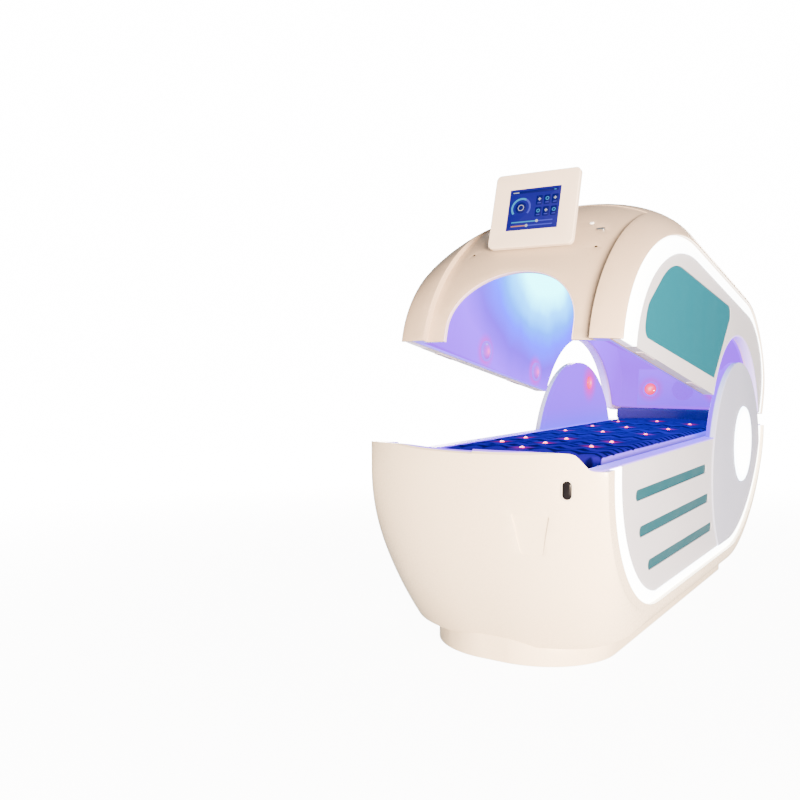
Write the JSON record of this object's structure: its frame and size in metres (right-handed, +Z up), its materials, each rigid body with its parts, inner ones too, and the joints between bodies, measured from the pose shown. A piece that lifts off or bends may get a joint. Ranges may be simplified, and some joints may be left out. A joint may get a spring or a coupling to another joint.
{
  "type": "infrared sauna capsule",
  "caption": "Lie-in infrared sauna capsule: moulded tub with bed and heater, rear-hinged lid with arched head opening, lit side panels, hinge ears and a tilting display.",
  "frame": {"origin": "middle of the bounding box on the floor, under the levelling feet", "axes": "+Z up; length along Y with the head end and display towards -Y and the lid hinge towards +Y; +X is the side with the oval push button"},
  "size_m": [0.8048, 2.3696, 1.5808],
  "materials": {
    "shell_cream": "gloss",
    "trim_cream": "satin",
    "panel_grey": "satin",
    "light_white": "satin",
    "tint_teal": "gloss",
    "liner_lavender": "gloss",
    "mat_violet": "satin",
    "board_wood": "matte",
    "foot_navy": "satin",
    "dark_plastic": "matte",
    "frame_aluminium": "satin",
    "steel": "satin",
    "chrome": "polished",
    "lamp_red": "gloss",
    "button_black": "gloss",
    "rubber": "matte",
    "grille": "matte",
    "display_grey": "satin",
    "screen_glass": "gloss"
  },
  "bodies": {
    "base": {"base_light_left": "light_white", "base_light_right": "light_white", "base_shell": "shell_cream", "bed_board": "board_wood", "bed_frame": "frame_aluminium", "bed_heater": "dark_plastic", "bed_mat": "mat_violet", "button_bezel": "button_black", "control_unit": "dark_plastic", "ear_heaters": "lamp_red", "ear_lamp_left": "light_white", "ear_lamp_right": "light_white", "ear_left": "panel_grey", "ear_right": "panel_grey", "foot_board": "foot_navy", "hinge_brackets": "steel", "hinge_pins": "steel", "levelling_feet": "rubber", "lift_actuator": "frame_aluminium", "mat_lights": "lamp_red", "plinth_frame": "frame_aluminium", "plinth_skirt": "shell_cream", "power_inlet": "dark_plastic", "rim_trim": "trim_cream", "side_panel_left": "panel_grey", "side_panel_right": "panel_grey", "tub_liner": "liner_lavender", "vent_slats_left": "tint_teal", "vent_slats_right": "tint_teal"},
    "lid": {"lid_shell": "shell_cream", "arch_trim": "trim_cream", "lid_liner": "liner_lavender", "lid_sill": "liner_lavender", "lid_pads": "rubber", "lamp_rings": "chrome", "infrared_lamps": "lamp_red", "rear_console": "liner_lavender", "speaker_grille": "grille", "ceiling_light": "light_white", "hinge_arms": "steel", "lift_lever": "steel", "crank_pin": "steel", "display_pedestal": "trim_cream", "visor_screws": "steel", "status_light": "light_white", "lid_panel_right": "panel_grey", "lid_panel_left": "panel_grey", "window_right": "tint_teal", "window_left": "tint_teal", "lid_light_right": "light_white", "lid_light_left": "light_white"},
    "display": {"display_case": "display_grey", "display_screen": "screen_glass", "display_pivot": "steel"},
    "actuator_rod": {"actuator_rod": "steel"},
    "power_button": {"power_button": "button_black"},
    "lid_button": {"lid_button": "chrome"}
  },
  "joints": [
    {"name": "lid_hinge", "type": "hinge", "parent": "base", "child": "lid", "pos_m": [0, 1.0485, 0.64], "axis": [-1, 0, 0], "range_deg": [-10.3, 21.7]},
    {"name": "rod_slide", "type": "slide", "parent": "base", "child": "actuator_rod", "axis": [0, -1, 0], "range_m": [-0.02, 0.041]},
    {"name": "display_tilt", "type": "hinge", "parent": "lid", "child": "display", "pos_m": [0, -0.7372, 1.39546], "axis": [-1, 0, 0], "range_deg": [0, 20]},
    {"name": "power_button_press", "type": "slide", "parent": "base", "child": "power_button", "axis": [-0.2233, 0.9748, 0], "range_m": [0, 0.004], "stiffness_N_per_m": 500, "springref_m": -0.001},
    {"name": "lid_button_press", "type": "slide", "parent": "lid", "child": "lid_button", "axis": [0, 0.4993, -0.8664], "range_m": [0, 0.002], "stiffness_N_per_m": 500, "springref_m": -0.001}
  ],
  "couplings": [
    {"joint": "rod_slide", "follows": "lid_hinge", "m_per_rad": 0.105}
  ]
}
